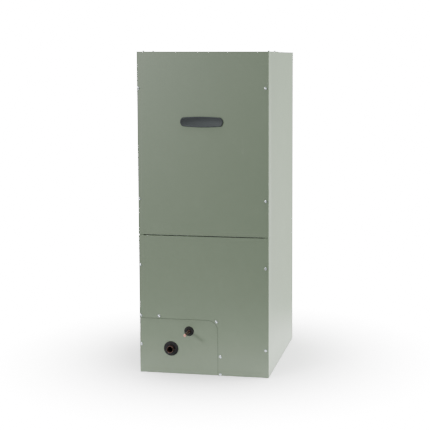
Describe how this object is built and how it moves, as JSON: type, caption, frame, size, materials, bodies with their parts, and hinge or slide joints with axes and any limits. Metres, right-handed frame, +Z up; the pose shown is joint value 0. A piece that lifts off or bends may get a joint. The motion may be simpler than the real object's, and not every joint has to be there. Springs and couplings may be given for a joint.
{
  "type": "upflow air handler",
  "caption": "Tall upflow air handler cabinet with lift-off doors over a centrifugal blower, an A-shaped coil, a drain pan and a filter.",
  "frame": {"origin": "middle of the cabinet's footprint, on the plane of its base (the return air opening's middle)", "axes": "+Z up, towards the supply opening; -Y out of the front, where the doors are; +X the cabinet's right side as its front is faced"},
  "size_m": [0.47, 0.6243, 1.15],
  "materials": {
    "paint": "satin olive grey-green paint",
    "galvanized": "galvanized sheet, faint spangle",
    "zinc": "bright zinc plating",
    "foil": "glass fibre with a crinkled foil face",
    "pan_plastic": "moulded, matt",
    "fins": "fine fins",
    "copper": "drawn copper tube",
    "brass": "machined",
    "rubber": "matt black",
    "filter_media": "pleated",
    "filter_frame": "folded card",
    "board": "solder mask",
    "black_plastic": "moulded",
    "ivory_plastic": "moulded",
    "plate": "dark grey, smooth",
    "motor_paint": "black enamel",
    "wiring": "insulated wire"
  },
  "bodies": {
    "cabinet": {"base_frame": "galvanized", "side_panel_right": "paint", "side_panel_left": "paint", "back_panel": "paint", "top_panel": "galvanized", "top_front_cover": "paint", "front_rails": "galvanized", "liner_upper": "foil", "liner_lower": "foil", "filter_rails": "galvanized", "pan_rails": "galvanized", "drain_pan": "pan_plastic", "coil_slab_right": "fins", "coil_slab_left": "fins", "coil_end_plates": "galvanized", "return_bends": "copper", "delta_plates": "galvanized", "coil_top_cap": "galvanized", "suction_manifold": "copper", "suction_line": "copper", "liquid_line": "copper", "metering_valve": "brass", "distributor": "brass", "feeder_tubes": "copper", "control_bulkhead": "galvanized", "heater_blank_plate": "galvanized", "control_box": "galvanized", "control_board": "board", "transformer": "motor_paint", "terminal_block": "black_plastic", "relay": "black_plastic", "control_wiring": "wiring", "blower_rails": "galvanized", "cabinet_screws": "zinc"},
    "piping": {"piping_panel": "paint", "liquid_grommet": "rubber", "suction_grommet": "rubber", "piping_panel_screw": "zinc"},
    "upper_door": {"upper_panel": "paint", "upper_insulation": "foil", "badge_plate": "plate", "upper_panel_screws": "zinc"},
    "lower_door": {"lower_panel": "paint", "lower_insulation": "foil", "lower_panel_screws": "zinc"},
    "filter": {"filter_frame": "filter_frame", "filter_media": "filter_media"},
    "blower": {"blower_deck": "galvanized", "scroll_wrapper": "galvanized", "scroll_side_left": "galvanized", "scroll_side_right": "galvanized", "motor": "motor_paint", "motor_band": "galvanized", "motor_arms": "galvanized", "run_capacitor": "ivory_plastic", "motor_cable": "wiring", "blower_screws": "zinc"},
    "wheel": {"blower_wheel": "galvanized", "wheel_hub": "galvanized", "motor_shaft": "galvanized"}
  },
  "joints": [
    {"name": "upper_panel_off", "type": "slide", "parent": "cabinet", "child": "upper_door", "axis": [0, -1, 0], "range_m": [0, 0.9]},
    {"name": "lower_panel_off", "type": "slide", "parent": "cabinet", "child": "lower_door", "axis": [0, -1, 0], "range_m": [0, 0.9]},
    {"name": "piping_panel_off", "type": "slide", "parent": "cabinet", "child": "piping", "axis": [0, -1, 0], "range_m": [0, 0.675]},
    {"name": "filter_slide", "type": "slide", "parent": "cabinet", "child": "filter", "axis": [0, -1, 0], "range_m": [0, 0.54]},
    {"name": "blower_slide", "type": "slide", "parent": "cabinet", "child": "blower", "axis": [0, -1, 0], "range_m": [0, 0.54]},
    {"name": "blower_spin", "type": "hinge", "parent": "blower", "child": "wheel", "pos_m": [0, 0.01, 0.7], "axis": [1, 0, 0], "continuous": true}
  ],
  "couplings": [
    {"joint": "blower_slide", "follows": "upper_panel_off", "ratio": 0.6},
    {"joint": "piping_panel_off", "follows": "lower_panel_off", "ratio": 0.75},
    {"joint": "filter_slide", "follows": "lower_panel_off", "ratio": 0.6}
  ]
}
